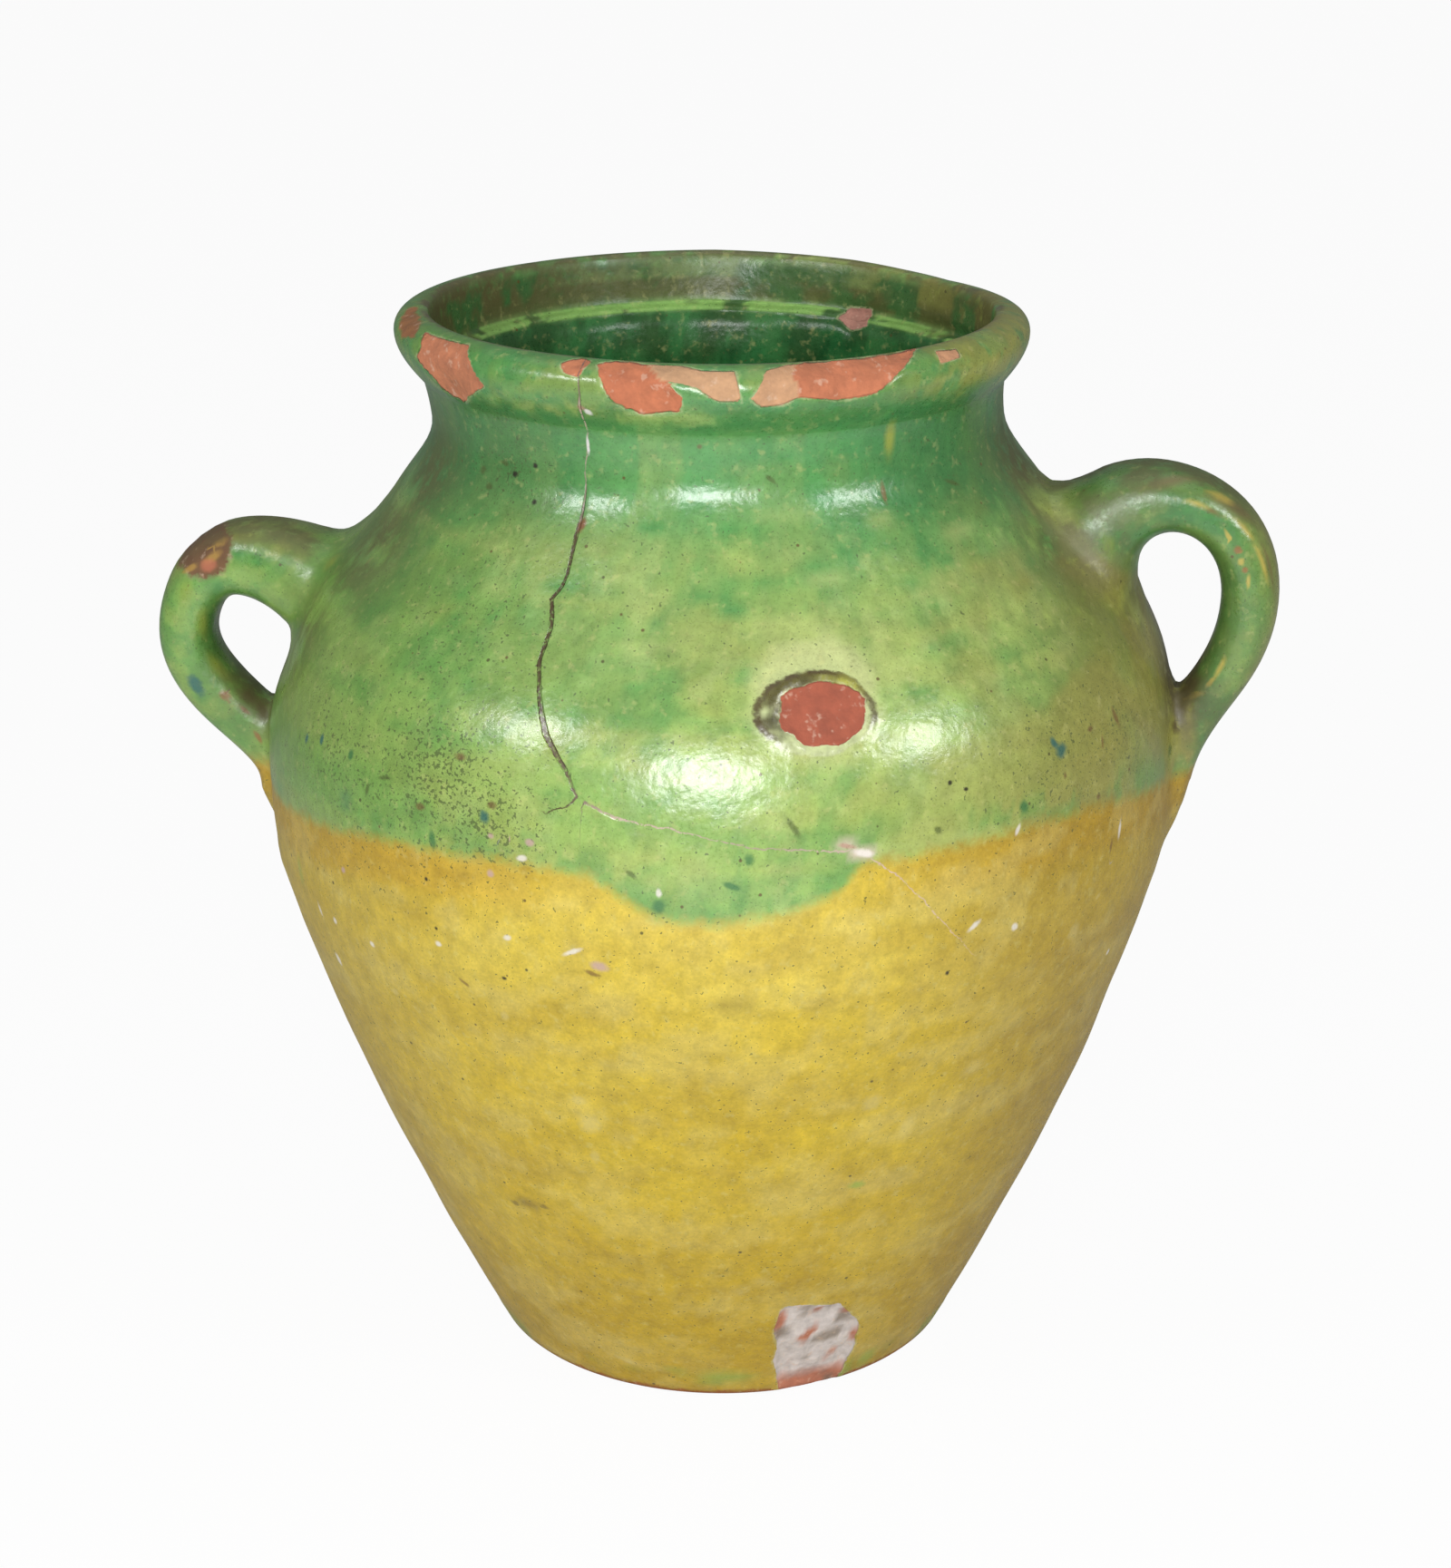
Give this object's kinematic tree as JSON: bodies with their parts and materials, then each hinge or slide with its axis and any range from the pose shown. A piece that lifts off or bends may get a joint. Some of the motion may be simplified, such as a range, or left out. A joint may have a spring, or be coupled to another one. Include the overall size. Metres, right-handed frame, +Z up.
{
  "type": "confit pot",
  "caption": "Earthenware storage pot with a narrow flat foot, a high round belly, a short neck, a thick rolled lip with an inner seat, and a strap handle on each shoulder.",
  "frame": {"origin": "centre of the flat foot, on the surface that the pot stands on", "axes": "+Z up along the pot's axis, +X towards the right handle, -Y towards the front that the picture shows"},
  "size_m": [0.2807, 0.2308, 0.27],
  "materials": {
    "glazed_earthenware": "green lead glaze over the upper half, thin ochre yellow slip and glaze below, bare red clay where it is chipped"
  },
  "bodies": {
    "root": {"pot": "glazed_earthenware"}
  },
  "joints": []
}
